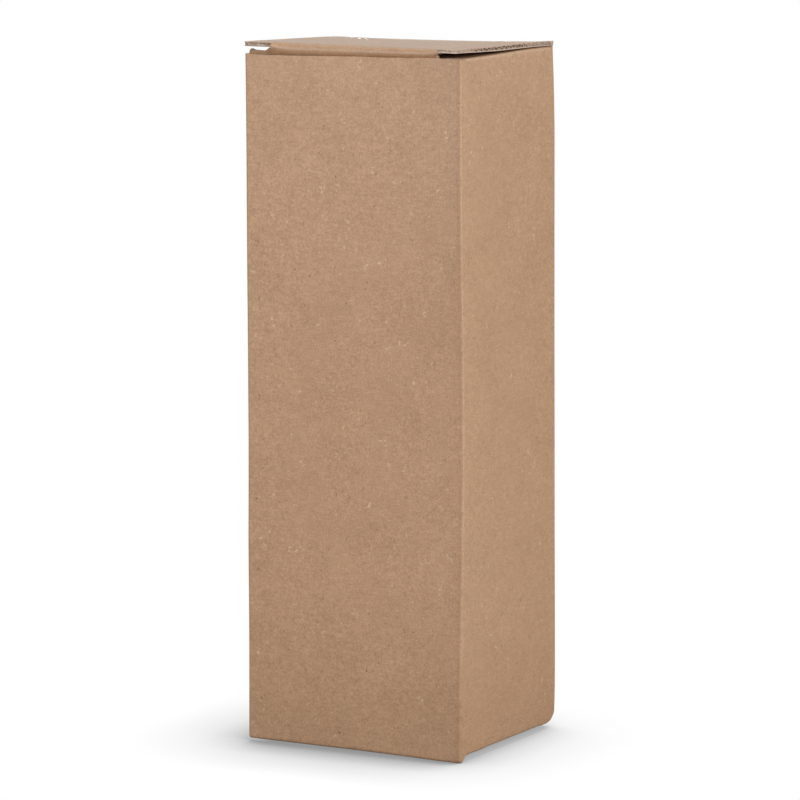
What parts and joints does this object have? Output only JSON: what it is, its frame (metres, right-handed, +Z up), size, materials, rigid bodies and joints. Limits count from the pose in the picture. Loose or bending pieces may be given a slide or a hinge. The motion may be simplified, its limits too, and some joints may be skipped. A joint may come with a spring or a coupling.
{
  "type": "closed cardboard box",
  "caption": "Tall closed carton of brown corrugated board with a hinged tuck-in lid, standing on a bottom of four flaps locked into each other.",
  "frame": {"origin": "on the ground, at the middle of the box's footprint", "axes": "+Z up along the box's height, the front panel faces -Y, +X is to the right seen from the front, and the lid hinges along X on the back panel"},
  "size_m": [0.0776, 0.0666, 0.2238],
  "materials": {
    "kraft_board": "matte brown kraft paper"
  },
  "bodies": {
    "box": {"carton": "kraft_board"},
    "top_lid": {"top_lid": "kraft_board"}
  },
  "joints": [
    {"name": "top_lid_hinge", "type": "hinge", "parent": "box", "child": "top_lid", "pos_m": [0, 0.03325, 0.2221], "axis": [-1, 0, 0], "range_deg": [0, 180]}
  ]
}
